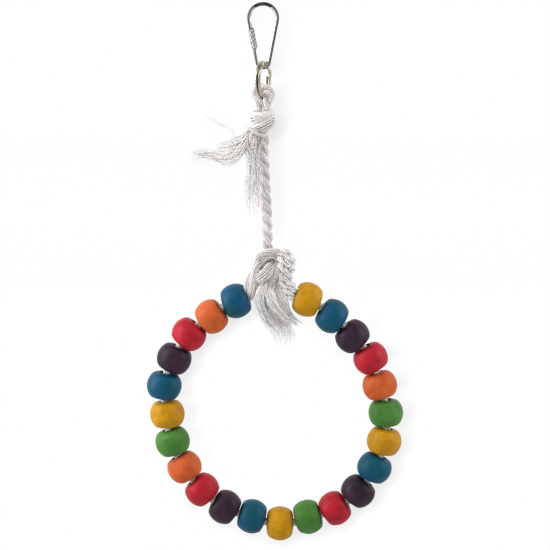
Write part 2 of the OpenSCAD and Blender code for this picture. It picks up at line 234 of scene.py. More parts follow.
def nickel(name, colour, roughness, painted_shade_level):
    """Plated metal: cloudy polish, small tarnish spots, and painted shade and painted dark reflection where
    it is marked.
    """
    made, tree = blank_material(name)
    place = add_node(tree, "ShaderNodeTexCoord").outputs["Object"]
    spots = add_node(tree, "ShaderNodeTexNoise", {
        "Vector": place, "Scale": 420.0, "Detail": 5.0}).outputs["Fac"]
    painted_shade = add_node(tree, "ShaderNodeAttribute", attribute_name="painted_shade").outputs["Fac"]
    dull = ranged(tree, spots, 0.4, 0.75, roughness, roughness + 0.12)
    # Painted shade: the marks darken the colour down to the given level.
    shade = ranged(tree, painted_shade, 0.0, 1.0, 1.0, painted_shade_level)
    hue = add_node(tree, "ShaderNodeMix", {
        "Factor": spots, "A": colour, "B": tuple(c * 0.9 for c in colour[:3]) + (1,)}, data_type="RGBA")
    hue = scaled(tree, hue.outputs["Result"], shade)
    bump = add_node(tree, "ShaderNodeBump", {"Height": spots, "Strength": 0.05, "Distance": 0.00003})
    metal = add_node(tree, "ShaderNodeBsdfPrincipled", {
        "Base Color": hue, "Metallic": 1.0, "Roughness": dull, "Normal": bump.outputs[0]})
    add_node(tree, "ShaderNodeOutputMaterial", {"Surface": metal.outputs[0]})
    return made


def mesh_piece(name, points, faces, material, body, node, marks):
    """A finished piece from points, faces and painted shade marks, riding on its body in place of a CAD node.
    """
    data = bpy.data.meshes.new(name)
    data.from_pydata([tuple(p) for p in points], [], faces)
    work = bmesh.new()
    work.from_mesh(data)
    bmesh.ops.recalc_face_normals(work, faces=work.faces)
    work.to_mesh(data)
    work.free()
    data.polygons.foreach_set("use_smooth", [len(face.vertices) == 4 for face in data.polygons])
    data.materials.append(material)
    data.attributes.new("painted_shade", "FLOAT", "POINT").data.foreach_set("value", marks)
    made = put(name, data)
    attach(made, body)
    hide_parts(node)


def ring_faces(rings, sides, closed=False):
    """Quads between rings of points, and a face over each end of an open run."""
    faces = [(i * sides + k, (i + 1) % rings * sides + k,
              (i + 1) % rings * sides + (k + 1) % sides, i * sides + (k + 1) % sides)
             for i in range(rings if closed else rings - 1) for k in range(sides)]
    if not closed:
        faces += [tuple(range(sides)), tuple(range((rings - 1) * sides, rings * sides))]
    return faces


WIRE_R = 0.00101
WIRE_MID_Z = 0.001
WIRE_SIDES = 24
TOP_R = 0.0076
BOTTOM_R = 0.0031
BENDS_APART = 0.024
UPPER_END = 0.0067
LOWER_END = 0.0103
BOTTOM_STEPS = 33
TOP_STEPS = 65
# Painted dark reflection: the marks darken the wire's outer side and the top of its bend.
TOP_DARK = 0.0046
OUTER_SHADE = (0.35, 1.3)
TOP_SHADE = 1.5
top_centre = Vector((0, 0, WIRE_MID_Z - TOP_R))
bottom_centre = top_centre - Vector((0, 0, BENDS_APART))
tilt = math.asin((TOP_R - BOTTOM_R) / BENDS_APART)
left_out = Vector((-math.cos(tilt), 0, -math.sin(tilt)))
left_down = Vector((math.sin(tilt), 0, -math.cos(tilt)))


def clamped(value):
    return min(1, max(0, value))


def bend(centre, radius, start, end, count):
    return [centre + Vector((math.cos(a), 0, math.sin(a))) * radius for a in np.linspace(start, end, count)]


wire_line = [top_centre + left_out * TOP_R + left_down * LOWER_END]
wire_line += bend(bottom_centre, BOTTOM_R, math.pi + tilt, 2 * math.pi - tilt, BOTTOM_STEPS)
wire_line += bend(top_centre, TOP_R, -tilt, math.pi + tilt, TOP_STEPS)
wire_line += [top_centre + left_out * TOP_R + left_down * UPPER_END]
bend_ends = (1, BOTTOM_STEPS, BOTTOM_STEPS + 1, BOTTOM_STEPS + TOP_STEPS)
wire_points, wire_shade_marks = [], []
for i, p in enumerate(wire_line):
    run = wire_line[min(i + 1, len(wire_line) - 1)] - wire_line[max(i - 1, 0)]
    if i in bend_ends:
        run = Vector((-p.z + (bottom_centre if i <= BOTTOM_STEPS else top_centre).z, 0, p.x))
    out = Vector((run.z, 0, -run.x)).normalized()
    bend_shade = TOP_SHADE if abs(p.x) < TOP_DARK and p.z > top_centre.z else 0
    for k in range(WIRE_SIDES):
        a = 2 * math.pi * k / WIRE_SIDES
        wire_points.append(p + (out * math.cos(a) + Vector((0, 1, 0)) * math.sin(a)) * WIRE_R)
        wire_shade_marks.append(clamped(OUTER_SHADE[0] + OUTER_SHADE[1] * math.cos(a) + bend_shade))
wire_nickel = nickel("wire_nickel", srgb(222, 219, 214), 0.15, 0.10)
mesh_piece("bent_wire", wire_points, ring_faces(len(wire_line), WIRE_SIDES), wire_nickel,
           "link", "link_wire", wire_shade_marks)

# Screw sleeve
# A short nickel tube with a thread inside and slanting grooves outside for the fingers.
# It runs on the wire's thread and covers the gap. Painted shade darkens its grooves and the side that faces
# into the link.
SLEEVE_R = 0.0016
SLEEVE_BORE = 0.00106
SLEEVE_LEN = 0.0106
SLEEVE_DROP = 0.0047
SLEEVE_BEVEL = 0.00025
BEVEL_IN = -0.7
GROOVES = 4
GROOVE_DEPTH = 0.00018
GROOVE_TWIST = -7.6
GROOVE_SHARPNESS = 5
GROOVE_ROWS = 60
# Painted shade on the side that faces into the link, and in the grooves.
INNER_SHADE = (-1.1, -2.4)
SLEEVE_SIDES = 144
sleeve_top = top_centre + left_out * TOP_R + left_down * SLEEVE_DROP
rows = [(0.0, BEVEL_IN, 0), (SLEEVE_BEVEL, 0, 0)]
rows += [(run, 0, 1) for run in np.linspace(SLEEVE_BEVEL * 2, SLEEVE_LEN - SLEEVE_BEVEL * 2, GROOVE_ROWS)]
rows += [(SLEEVE_LEN - SLEEVE_BEVEL, 0, 0), (SLEEVE_LEN, BEVEL_IN, 0)]
sleeve_points, sleeve_shade_marks = [], []
for run, bevel, grooved in rows + [(SLEEVE_LEN, None, 0), (0.0, None, 0)]:
    for k in range(SLEEVE_SIDES):
        a = 2 * math.pi * k / SLEEVE_SIDES
        wave = 0.5 + 0.5 * math.cos(GROOVES * (a + GROOVE_TWIST * run / SLEEVE_LEN))
        wave = grooved * wave ** GROOVE_SHARPNESS
        r = SLEEVE_BORE if bevel is None else SLEEVE_R + bevel * SLEEVE_BEVEL - GROOVE_DEPTH * wave
        way = left_out * math.cos(a) + Vector((0, 1, 0)) * math.sin(a)
        sleeve_points.append(sleeve_top + left_down * run + way * r)
        sleeve_shade_marks.append(max(wave, clamped(INNER_SHADE[0] + INNER_SHADE[1] * math.cos(a))))
sleeve_nickel = nickel("sleeve_nickel", srgb(206, 203, 200), 0.5, 0.3)
mesh_piece("grooved_sleeve", sleeve_points, ring_faces(len(rows) + 2, SLEEVE_SIDES, closed=True),
           sleeve_nickel, "sleeve", "link_sleeve", sleeve_shade_marks)

# Split ring
# Flat spring wire wound twice round and plated. The turns lie side by side, and painted shade darkens the
# seam between them, most on the front.
# It hangs in the narrow bend of the link and holds the rope's eye.
RING_Z = -0.0400591
RING_MID_R = 0.0093
RING_W = 0.00164
RING_T = 0.0014
RING_STEP = 0.0017
RING_YAW = math.radians(18)
RING_START = 90
RING_WIND = 650
RING_RAMP = 30
RING_STATIONS = 261
CORNER = 0.0006
CORNER_STEPS = 5
# Painted shade in the seam between the turns, strongest on the front.
SEAM_SPREAD = 1.6
SEAM_LEAST = 0.35
SEAM_FOCUS = 6
section = []
for corner, (w, t) in enumerate([(1, 1), (-1, 1), (-1, -1), (1, -1)]):
    for step in range(CORNER_STEPS + 1):
        a = math.radians(90 * (corner + step / CORNER_STEPS))
        section.append((w * (RING_W / 2 - CORNER) + CORNER * math.cos(a),
                        t * (RING_T / 2 - CORNER) + CORNER * math.sin(a)))
ring_axis = Vector((math.cos(RING_YAW), -math.sin(RING_YAW), 0))
ring_side = Vector((math.sin(RING_YAW), math.cos(RING_YAW), 0))
ring_points, seam_shade_marks = [], []
for i in range(RING_STATIONS):
    wound = RING_WIND * i / (RING_STATIONS - 1)
    a = math.radians(wound + RING_START)
    u = clamped((wound - RING_WIND / 2) / RING_RAMP + 0.5)
    shift = RING_STEP * (eased(u) - 0.5)
    radial = ring_side * math.sin(a) + Vector((0, 0, math.cos(a)))
    for w, t in section:
        ring_points.append(Vector((0, 0, RING_Z)) + ring_axis * (shift + w) + radial * (RING_MID_R + t))
        seam = clamped((RING_W / 2 - abs(shift + w)) / (RING_W / 2) * SEAM_SPREAD)
        seam_shade_marks.append(seam * (SEAM_LEAST + (1 - SEAM_LEAST) * max(0, -math.sin(a)) ** SEAM_FOCUS))
ring_nickel = nickel("ring_nickel", srgb(214, 205, 188), 0.22, 0.02)
mesh_piece("split_ring_wire", ring_points, ring_faces(RING_STATIONS, len(section)), ring_nickel,
           "ring", "split_ring", seam_shade_marks)


# Hanger
# Undyed cotton rope of three strands, each a bundle of soft yarns. It leans a little to the right on its
# way down.
def socketed(name, kind, sockets, outputs):
    """A node group with its inputs and outputs."""
    made = bpy.data.node_groups.new(name, kind)
    for label, socket in sockets.items():
        made.interface.new_socket(label, in_out="INPUT", socket_type="NodeSocket" + socket)
    for label, socket in outputs.items():
        made.interface.new_socket(label, in_out="OUTPUT", socket_type="NodeSocket" + socket)
    return made, made.nodes.new("NodeGroupInput").outputs, made.nodes.new("NodeGroupOutput").inputs


def finished_yarns(tree, curve, given, tone):
    """Ends a tree of yarns: each gets its round section, its marks for the material and the material."""
    run = add_node(tree, "GeometryNodeSplineParameter").outputs["Length"]
    curve = add_node(tree, "GeometryNodeStoreNamedAttribute", {
        "Geometry": curve, "Name": "yarn_run", "Value": run}).outputs[0]
    curve = add_node(tree, "GeometryNodeStoreNamedAttribute", {
        "Geometry": curve, "Name": "yarn_tone", "Value": tone}).outputs[0]
    circle = add_node(tree, "GeometryNodeCurvePrimitiveCircle", {
        "Resolution": given["Sides"], "Radius": given["Yarn Radius"]}).outputs["Curve"]
    turn = add_node(tree, "GeometryNodeSplineParameter").outputs["Factor"]
    circle = add_node(tree, "GeometryNodeStoreNamedAttribute", {
        "Geometry": circle, "Name": "yarn_turn", "Value": turn}).outputs[0]
    radius = add_node(tree, "GeometryNodeInputRadius").outputs[0]
    mesh = add_node(tree, "GeometryNodeCurveToMesh", {
        "Curve": curve, "Profile Curve": circle, "Scale": radius, "Fill Caps": True}).outputs[0]
    mesh = add_node(tree, "GeometryNodeSetShadeSmooth", {"Geometry": mesh}).outputs[0]
    mesh = add_node(tree, "GeometryNodeRealizeInstances", {"Geometry": mesh}).outputs[0]
    return add_node(tree, "GeometryNodeSetMaterial", {
        "Geometry": mesh, "Material": given["Material"]}).outputs[0]


def crossed(tree, a, b):
    return vectors(tree, "NORMALIZE", vectors(tree, "CROSS_PRODUCT", a, b))


def circled(tree, first, second, angle):
    """The direction at an angle in the plane of two directions."""
    return vectors(tree, "ADD", scaled(tree, first, maths(tree, "COSINE", angle)),
                   scaled(tree, second, maths(tree, "SINE", angle)))


def wobble(tree, place, amount):
    """A smooth random shift of up to about half the amount, the same on every run."""
    noise = add_node(tree, "ShaderNodeTexNoise", {"Vector": place, "Scale": 1.0, "Detail": 1.0})
    return scaled(tree, vectors(tree, "SUBTRACT", noise.outputs["Color"], (0.5, 0.5, 0.5)), amount)


YARN_APART = 7.31
UNEVEN_RATE = 170.0


def noise_place(tree, along, number, seed):
    """Where a yarn or clump reads the noise, well away from the others."""
    across = maths(tree, "MULTIPLY", number, YARN_APART)
    return add_node(tree, "ShaderNodeCombineXYZ", {0: along, 1: across, 2: seed}).outputs[0]


laid_rope, given, result = socketed("laid_rope", "GeometryNodeTree", {
    "Geometry": "Geometry", "Strands": "Int", "Yarns": "Int", "Lay Radius": "Float", "Strand Radius": "Float",
    "Yarn Radius": "Float", "Lay": "Float", "Yarn Lay": "Float", "Flatness": "Float", "Unevenness": "Float",
    "Step": "Float", "Sides": "Int", "Seed": "Int", "Material": "Material"}, {"Geometry": "Geometry"})
tree = laid_rope
line = add_node(tree, "GeometryNodeResampleCurve", {
    "Curve": given["Geometry"], "Length": given["Step"]}, mode="LENGTH")
copies = add_node(tree, "GeometryNodeDuplicateElements", {
    "Geometry": line.outputs[0],
    "Amount": maths(tree, "MULTIPLY", given["Strands"], given["Yarns"])}, domain="SPLINE")
number = copies.outputs["Duplicate Index"]
strand = maths(tree, "FLOOR", maths(tree, "DIVIDE", number, given["Yarns"]))
yarn = maths(tree, "MODULO", number, given["Yarns"])
run = add_node(tree, "GeometryNodeSplineParameter").outputs["Length"]
tangent = add_node(tree, "GeometryNodeInputTangent").outputs[0]
normal = add_node(tree, "GeometryNodeInputNormal").outputs[0]
side = crossed(tree, tangent, normal)
turns = maths(tree, "ADD", maths(tree, "DIVIDE", run, given["Lay"]),
              maths(tree, "DIVIDE", strand, given["Strands"]))
angle = maths(tree, "MULTIPLY", turns, 2 * math.pi)
outwards = circled(tree, normal, side, angle)
sideways = circled(tree, normal, side, maths(tree, "ADD", angle, math.pi / 2))
turns = maths(tree, "ADD", maths(tree, "DIVIDE", run, given["Yarn Lay"]),
              maths(tree, "DIVIDE", yarn, given["Yarns"]))
yarn_angle = maths(tree, "MULTIPLY", turns, 2 * math.pi)
yarn_way = circled(tree, scaled(tree, outwards, given["Flatness"]), sideways, yarn_angle)
shift = vectors(tree, "ADD", scaled(tree, outwards, given["Lay Radius"]),
                scaled(tree, yarn_way, given["Strand Radius"]))
shift = scaled(tree, shift, add_node(tree, "GeometryNodeInputRadius").outputs[0])
spot = noise_place(tree, maths(tree, "MULTIPLY", run, UNEVEN_RATE), number, given["Seed"])
shift = vectors(tree, "ADD", shift, wobble(tree, spot, given["Unevenness"]))
moved = add_node(tree, "GeometryNodeSetPosition", {"Geometry": copies.outputs[0], "Offset": shift}).outputs[0]
moved = add_node(tree, "GeometryNodeSetCurveRadius", {"Curve": moved, "Radius": 1.0}).outputs[0]
tone = add_node(tree, "FunctionNodeRandomValue", {"ID": number, "Seed": given["Seed"]}).outputs["Value"]
tree.links.new(finished_yarns(tree, moved, given, tone), result["Geometry"])


def grown(name, lines, tree, sizes, body=None, nodes=(), closed=False, twist="MINIMUM"):
    """A plain mesh piece that a tree grows along lines, riding on a body in place of CAD nodes."""
    data = bpy.data.curves.new(name + "_line", "CURVE")
    data.dimensions = "3D"
    data.twist_mode = twist
    for line in lines:
        spline = data.splines.new("POLY")
        spline.points.add(len(line) - 1)
        spline.use_cyclic_u = closed
        for point, p in zip(spline.points, line):
            point.co = (p[0], p[1], p[2], 1)
            point.radius = p[3] if len(p) > 3 else 1.0
    source = put(name + "_line", data)
    modifier = source.modifiers.new("grow", "NODES")
    modifier.node_group = tree
    for item in tree.interface.items_tree:
        if item.name in sizes and item.in_out == "INPUT":
            modifier[item.identifier] = sizes[item.name]
    mesh = bpy.data.meshes.new_from_object(source.evaluated_get(bpy.context.evaluated_depsgraph_get()))
    mesh.name = name
    bpy.data.objects.remove(source)
    made = put(name, mesh)
    if body:
        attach(made, body)
    if nodes:
        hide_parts(*nodes)
    return made


PLY_TURN = 0.0016


def cotton_yarn(name, shaded, pale):
    """Spun cotton: each yarn in its own tone, cloudy, with the twist of its plies and fine fibres."""
    made, tree = blank_material(name)
    tone = add_node(tree, "ShaderNodeAttribute", attribute_name="yarn_tone").outputs["Fac"]
    run = add_node(tree, "ShaderNodeAttribute", attribute_name="yarn_run").outputs["Fac"]
    turn = add_node(tree, "ShaderNodeAttribute", attribute_name="yarn_turn").outputs["Fac"]
    place = add_node(tree, "ShaderNodeTexCoord").outputs["Object"]
    cloud = add_node(tree, "ShaderNodeTexNoise", {
        "Vector": place, "Scale": 260.0, "Detail": 4.0}).outputs["Fac"]
    plies = maths(tree, "MULTIPLY_ADD", run, 1 / PLY_TURN, maths(tree, "MULTIPLY", turn, 2.0))
    plies = maths(tree, "ABSOLUTE", maths(tree, "SINE", maths(tree, "MULTIPLY", plies, math.pi)))
    fibres = add_node(tree, "ShaderNodeTexNoise", {
        "Vector": place, "Scale": 5200.0, "Detail": 3.0}).outputs["Fac"]
    mixed = maths(tree, "MULTIPLY_ADD", tone, 0.55, maths(tree, "MULTIPLY", cloud, 0.45))
    colour = add_node(tree, "ShaderNodeMix", {
        "Factor": mixed, "A": shaded, "B": pale}, data_type="RGBA").outputs["Result"]
    height = maths(tree, "MULTIPLY_ADD", plies, 0.7, maths(tree, "MULTIPLY", fibres, 0.5))
    bump = add_node(tree, "ShaderNodeBump", {"Height": height, "Strength": 0.5, "Distance": 0.00008})
    fabric = add_node(tree, "ShaderNodeBsdfPrincipled", {
        "Base Color": colour, "Roughness": 0.92, "Specular IOR Level": 0.2, "Sheen Weight": 0.2,
        "Sheen Roughness": 0.5, "Normal": bump.outputs[0]})
    add_node(tree, "ShaderNodeOutputMaterial", {"Surface": fabric.outputs[0]})
    return made


cotton = cotton_yarn("cotton_yarn", srgb(206, 199, 197), srgb(246, 242, 239))
grey_cotton = cotton_yarn("grey_cotton_yarn", srgb(200, 191, 192), srgb(246, 243, 243))
ROPE = {"Strands": 3, "Yarns": 9, "Lay Radius": 0.00156, "Strand Radius": 0.00122, "Yarn Radius": 0.00042,
        "Lay": -0.020, "Yarn Lay": 0.026, "Flatness": 1.0, "Unevenness": 0.00040, "Step": 0.0007, "Sides": 6,
        "Seed": 3, "Material": cotton}
HANGER_TOP_Z = -0.0690591
HANGER_LEN = 0.065
HANGER_SIDE = 0.0022
HANGER_TUCK = 0.03
hanger_line = []
for t in np.linspace(-HANGER_TUCK, 1 + HANGER_TUCK, 60):
    hanger_line.append((HANGER_SIDE * eased(clamped(t)), 0, HANGER_TOP_Z - HANGER_LEN * t))
hanger = grown("hanger_yarns", [hanger_line], laid_rope, dict(ROPE, Material=grey_cotton),
               None, ["hanger_rope"])
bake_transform(hanger)

# Loop
# The same rope, pressed thinner where it runs through the beads.
# Both of its ends bend up into the lower knot.
EXIT_RUN = 0.009
threaded = [(Vector(joint["pos_m"]), Vector(joint["axis"])) for joint in frame["joints"]
            if joint["child"].startswith("bead_")]
loop_line = [threaded[0][0] - threaded[0][1] * EXIT_RUN]
for (middle, way), (next_middle, next_way) in zip(threaded, threaded[1:]):
    half_step = (next_middle - middle).length / 2
    loop_line.append((middle + way * half_step + next_middle - next_way * half_step) / 2)
loop_line.append(threaded[-1][0] + threaded[-1][1] * EXIT_RUN)
loose_cotton = cotton_yarn("loose_yarn", srgb(240, 236, 234), srgb(255, 255, 254))
LOOP_ROPE = dict(ROPE, **{"Step": 0.0012, "Sides": 5, "Seed": 5, "Lay Radius": 0.00108,
                          "Strand Radius": 0.00088, "Yarn Radius": 0.00033, "Unevenness": 0.0001,
                          "Material": loose_cotton})
loop = grown("loop_yarns", [loop_line], laid_rope, LOOP_ROPE, "hoop", ["loop_rope"])

# Eye
# The rope passed up through the split ring and down again.
# Both legs are drawn together under the ring, and the upper knot grips them.
EYE_R = 0.0044
EYE_Z = -0.0493591
EYE_LEG = 0.0120
LEG_DRAW = 0.0024
DRAW_RATE = 4.5


def leg_out(t):
    """How far a leg stands from the middle at a share of its length, drawn in soon below the bend."""
    return EYE_R - LEG_DRAW * math.sin(min(1, DRAW_RATE * t) * math.pi / 2)


eye_line = [Vector((0, 0, EYE_Z - EYE_LEG * t)) - ring_axis * leg_out(t) for t in np.linspace(1, 0, 9)]
eye_line += [Vector((0, 0, EYE_Z + EYE_R * math.sin(a))) - ring_axis * EYE_R * math.cos(a)
             for a in np.linspace(0, math.pi, 25)[1:-1]]
eye_line += [Vector((0, 0, EYE_Z - EYE_LEG * t)) + ring_axis * leg_out(t) for t in np.linspace(0, 1, 9)]
EYE_ROPE = dict(ROPE, **{"Seed": 11, "Lay": -0.019, "Lay Radius": 0.00138, "Strand Radius": 0.00108,
                         "Yarn Radius": 0.00036, "Step": 0.0006})
grown("eye_yarns", [eye_line], laid_rope, EYE_ROPE, "hanger", ["rope_eye"])


# Upper knot
# Two flattened turns of the rope pulled tight round its own standing part, slanting up to the right, and
# the strands of its end folded down on the left.
def smooth_line(points, count):
    """Points of a smooth curve through points given in millimetres, by the Catmull-Rom rule. A fourth
    value of a point is a width there."""
    p = np.array(points, float)
    p[:, :3] /= 1000
    p = np.vstack([2 * p[0] - p[1], p, 2 * p[-1] - p[-2]])
    line = []
    for t in np.linspace(0, len(points) - 1, count):
        i = min(int(t), len(points) - 2)
        u = t - i
        a, b, c, d = p[i:i + 4]
        line.append(0.5 * (2 * b + (c - a) * u + (2 * a - 5 * b + 4 * c - d) * u * u
                           + (3 * b - a - 3 * c + d) * u ** 3))
    return np.array(line)


TURN_DEPTH = 0.85


def turn_line(z, slant, radius, start, end, widths):
    """Part of a turn round the standing rope, by angle from the front to the right, in millimetres."""
    angles = np.radians(np.linspace(start, end, len(widths)))
    return smooth_line([(radius * math.sin(a), -radius * math.cos(a) * TURN_DEPTH, z + slant * math.sin(a), w)
                        for a, w in zip(angles, widths)], 48)


BAND = dict(ROPE, **{"Strands": 1, "Yarns": 13, "Lay": 10.0, "Lay Radius": 0.0, "Strand Radius": 0.0021,
                     "Yarn Radius": 0.00052, "Yarn Lay": 10.0, "Flatness": 0.45, "Unevenness": 0.0008,
                     "Seed": 17})
upper_turns = [turn_line(-59.9, 1.5, 5.6, 190, -200, (0.6, 0.6, 0.7, 1.1, 1.5, 1.5, 1.1)),
               turn_line(-65.2, 3.2, 5.2, 200, -160, (0.9, 1.2, 1.5, 1.4, 0.9, 0.7)),
               turn_line(-62.8, 0.5, 2.6, 180, -180, (2.0, 2.0, 2.0, 2.0, 2.0))]
grown("upper_knot_turns", upper_turns, laid_rope, BAND, "hanger", ["upper_knot"], twist="Z_UP")
STRAND = dict(BAND, **{"Yarns": 7, "Strand Radius": 0.0006, "Yarn Radius": 0.00026, "Yarn Lay": 0.018,
                       "Flatness": 1.0, "Unevenness": 0.0002, "Seed": 19})
upper_strands = [smooth_line(line, 24) for line in (
    [(-8.8, -4.6, -66.0), (-6.3, -6.6, -67.0), (-3.9, -7.4, -68.5), (-0.6, -7.0, -69.8),
     (2.4, -4.8, -70.4)],
    [(-6.0, -5.2, -65.6), (-8.8, -6.4, -67.6), (-9.6, -6.8, -71.0), (-8.4, -7.4, -75.0),
     (-6.3, -7.4, -79.4)],
    [(-4.6, -5.6, -66.4), (-6.4, -7.2, -69.2), (-6.8, -7.6, -72.6), (-5.4, -7.8, -76.4)],
    [(-3.0, -5.0, -66.8), (-4.4, -6.4, -69.4), (-4.2, -7.0, -73.4), (-5.0, -7.2, -79.0)],
    [(-1.6, -4.6, -67.4), (-2.8, -4.4, -70.4), (-3.0, -4.2, -74.4), (-3.6, -4.4, -80.0)],
    [(0.4, -3.2, -70.6), (-1.6, -4.4, -75.0), (-2.7, -4.8, -80.0), (-2.9, -4.4, -87.0)])]
grown("upper_knot_strands", upper_strands, laid_rope, STRAND, "hanger")

# Frayed ends
# The rope's cut end at the upper knot. Its strands have come apart into loose wavy yarns and fine fibres:
# a bundle and a shorter lobe to the left, one single yarn above them, and a soft brush that hangs down.
frayed_end, given, result = socketed("frayed_end", "GeometryNodeTree", {
    "Geometry": "Geometry", "Yarns": "Int", "Yarn Radius": "Float", "Depth": "Float", "Wave": "Float",
    "Wave Length": "Float", "Crimp": "Float", "Crimp Length": "Float", "Clumps": "Int", "Clumping": "Float",
    "Shortest": "Float", "Tip": "Float", "Step": "Float", "Sides": "Int", "Seed": "Int",
    "Material": "Material"}, {"Geometry": "Geometry"})
tree = frayed_end
line = add_node(tree, "GeometryNodeResampleCurve", {
    "Curve": given["Geometry"], "Length": given["Step"]}, mode="LENGTH")
copies = add_node(tree, "GeometryNodeDuplicateElements", {
    "Geometry": line.outputs[0], "Amount": given["Yarns"]}, domain="SPLINE")
number = copies.outputs["Duplicate Index"]
LENGTH_DRAW = 3
TONE_DRAW = 4
CLUMP_DRAW = 5
OWN_SPOT_DRAW = 10
CLUMP_SPOT_DRAW = 20
CLUMP_PHASE_DRAW = 30
OWN_PHASE_DRAW = 31
MILLIMETRE = 0.001
LOOSE_AT_ROOT = 0.25
QUICK_RATE = 2.7
QUICK_SHARE = 0.3


def drawn(tree, low, high, number, extra):
    """One random number for each yarn or clump."""
    seed = maths(tree, "ADD", given["Seed"], extra)
    return add_node(tree, "FunctionNodeRandomValue", {
        "Min": low, "Max": high, "ID": number, "Seed": seed}).outputs["Value"]


def drawn_spot(tree, number, extra):
    """A random place in a round section."""
    reach = maths(tree, "SQRT", drawn(tree, 0.02, 1.0, number, extra))
    angle = drawn(tree, 0.0, 2 * math.pi, number, extra + 1)
    return [maths(tree, "MULTIPLY", reach, maths(tree, part, angle)) for part in ("COSINE", "SINE")]


width = maths(tree, "MULTIPLY", add_node(tree, "GeometryNodeInputRadius").outputs[0], MILLIMETRE)
tangent = add_node(tree, "GeometryNodeInputTangent").outputs[0]
parameter = add_node(tree, "GeometryNodeSplineParameter").outputs
across = crossed(tree, tangent, (0, 1, 0))
deep = crossed(tree, across, tangent)
clump = drawn(tree, 0.0, 0.999, number, CLUMP_DRAW)
clump = maths(tree, "FLOOR", maths(tree, "MULTIPLY", clump, given["Clumps"]))
gather = maths(tree, "MULTIPLY", given["Clumping"], parameter["Factor"])
shift = (0, 0, 0)
own_spot = drawn_spot(tree, number, OWN_SPOT_DRAW)
clump_spot = drawn_spot(tree, clump, CLUMP_SPOT_DRAW)
for own, common, way, depth in zip(own_spot, clump_spot, (across, deep), (1.0, given["Depth"])):
    spot = maths(tree, "MULTIPLY_ADD", gather, maths(tree, "SUBTRACT", common, own), own)
    spot = maths(tree, "MULTIPLY", maths(tree, "MULTIPLY", spot, width), depth)
    shift = vectors(tree, "ADD", shift, scaled(tree, way, spot))
loose = maths(tree, "MULTIPLY_ADD", parameter["Factor"], 1 - LOOSE_AT_ROOT, LOOSE_AT_ROOT)
loose = maths(tree, "MULTIPLY", given["Wave"], loose)
slow = maths(tree, "DIVIDE", parameter["Length"], given["Wave Length"])
shift = vectors(tree, "ADD", shift, wobble(tree, noise_place(tree, slow, clump, given["Seed"]), loose))
quick = noise_place(tree, maths(tree, "MULTIPLY", slow, QUICK_RATE), number, given["Seed"])
shift = vectors(tree, "ADD", shift, wobble(tree, quick, maths(tree, "MULTIPLY", loose, QUICK_SHARE)))
phase = maths(tree, "DIVIDE", parameter["Length"], given["Crimp Length"])
phase = maths(tree, "ADD", phase, drawn(tree, 0.0, 1.0, clump, CLUMP_PHASE_DRAW))
phase = maths(tree, "ADD", phase, drawn(tree, 0.0, 0.3, number, OWN_PHASE_DRAW))
phase = maths(tree, "MULTIPLY", phase, 2 * math.pi)
shift = vectors(tree, "ADD", shift, scaled(tree, circled(tree, across, deep, phase), given["Crimp"]))
moved = add_node(tree, "GeometryNodeSetPosition", {"Geometry": copies.outputs[0], "Offset": shift}).outputs[0]
taper = maths(tree, "MULTIPLY_ADD", parameter["Factor"], maths(tree, "SUBTRACT", given["Tip"], 1.0), 1.0)
moved = add_node(tree, "GeometryNodeSetCurveRadius", {"Curve": moved, "Radius": taper}).outputs[0]
end = drawn(tree, given["Shortest"], 1.0, number, LENGTH_DRAW)
moved = add_node(tree, "GeometryNodeTrimCurve", {"Curve": moved, "End": end}, mode="FACTOR").outputs[0]
tone = drawn(tree, 0.0, 1.0, number, TONE_DRAW)
tree.links.new(finished_yarns(tree, moved, given, tone), result["Geometry"])

TAIL = {"Yarns": 34, "Yarn Radius": 0.00036, "Depth": 0.7, "Wave": 0.0034, "Wave Length": 0.009,
        "Crimp": 0.0003, "Crimp Length": 0.006, "Clumps": 9, "Clumping": 0.8, "Shortest": 0.8, "Tip": 0.5,
        "Step": 0.0008, "Sides": 5, "Seed": 2, "Material": loose_cotton}
FIBRE = dict(TAIL, **{"Yarns": 90, "Yarn Radius": 0.00008, "Sides": 3, "Seed": 9, "Wave": 0.0060,
                      "Shortest": 0.7, "Step": 0.0012, "Clumping": 0.2})
FIBRE_SPREAD = (1, 1, 1, 1.15)


def tail(name, lines, body, nodes, yarns, fibres):
    """A frayed end in two pieces: its yarns, which replace the CAD node, and the fine fibres round them."""
    bent = [smooth_line(line, 60) for line in lines]
    grown(name + "_yarns", bent, frayed_end, dict(TAIL, **yarns), body, nodes)
    grown(name + "_fibres", [line * FIBRE_SPREAD for line in bent], frayed_end, dict(FIBRE, **fibres),
          body)


tail("left_tail", [
    [(-6.4, -5.0, -67.4, 1.8), (-10.4, -6.0, -73.0, 3.8), (-14.6, -5.4, -79.0, 5.0),
     (-18.8, -4.4, -82.0, 4.9), (-24.0, -3.4, -82.0, 3.7), (-30.0, -2.8, -80.6, 3.0),
     (-35.6, -2.4, -80.2, 3.8), (-40.2, -2.4, -80.8, 5.0)]],
    "hanger", ["upper_tail_left"],
    {"Seed": 21, "Yarns": 32, "Yarn Radius": 0.00032, "Clumps": 9, "Clumping": 0.35, "Shortest": 0.76,
     "Wave": 0.0022, "Wave Length": 0.011, "Crimp": 0.0},
    {"Seed": 22, "Yarns": 40})
tail("left_lobe", [
    [(-8.6, -6.2, -70.0, 1.8), (-13.5, -6.4, -72.2, 3.2), (-19.0, -5.8, -74.6, 3.4),
     (-26.2, -4.8, -76.2, 2.8)]],
    "hanger", [],
    {"Seed": 31, "Yarns": 15, "Yarn Radius": 0.00032, "Shortest": 0.88, "Clumps": 5, "Clumping": 0.3,
     "Wave": 0.0018, "Wave Length": 0.011, "Crimp": 0.0},
    {"Seed": 32, "Yarns": 20})
